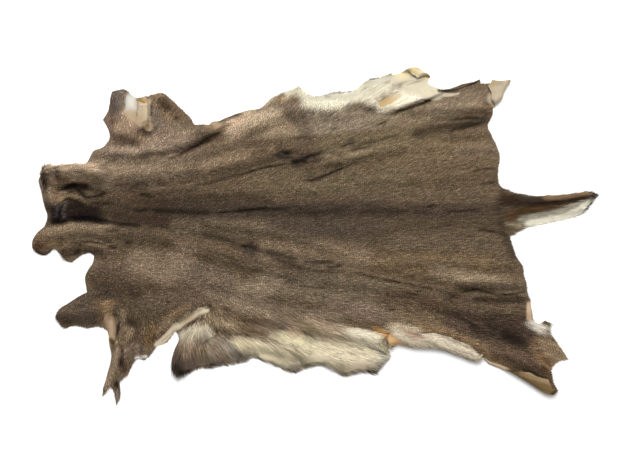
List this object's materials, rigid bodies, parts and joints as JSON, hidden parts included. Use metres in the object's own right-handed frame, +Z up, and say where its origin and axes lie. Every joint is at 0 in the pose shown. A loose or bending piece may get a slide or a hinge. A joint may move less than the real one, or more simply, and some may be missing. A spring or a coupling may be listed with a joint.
{
  "type": "deer pelt",
  "caption": "Whole deer pelt with its hair on, spread flat hair side up, with neck, legs, belly edges and tail, wavy edges partly turned up, and soft lengthwise wrinkles.",
  "frame": {"origin": "on the floor, under the middle of the pelt's outline", "axes": "+X along the back from the neck to the tail, +Y towards the animal's right flank, +Z up out of the hair side"},
  "size_m": [1.555, 0.996, 0.0532],
  "materials": {
    "coat": "dense grey-brown winter hair with buff tips, dull, with a soft sheen along the lay of the hair",
    "belly_hair": "long soft cream and ivory hair, shading to grey and brown at its tips and roots",
    "tail_hair": "long coarse hair, near black along the top, chestnut at the root and white below",
    "flesh_side": "bare tanned skin, cream to tan, smooth and slightly waxy, darker along its cut edge"
  },
  "bodies": {
    "root": {"pelt": "coat"}
  },
  "joints": []
}
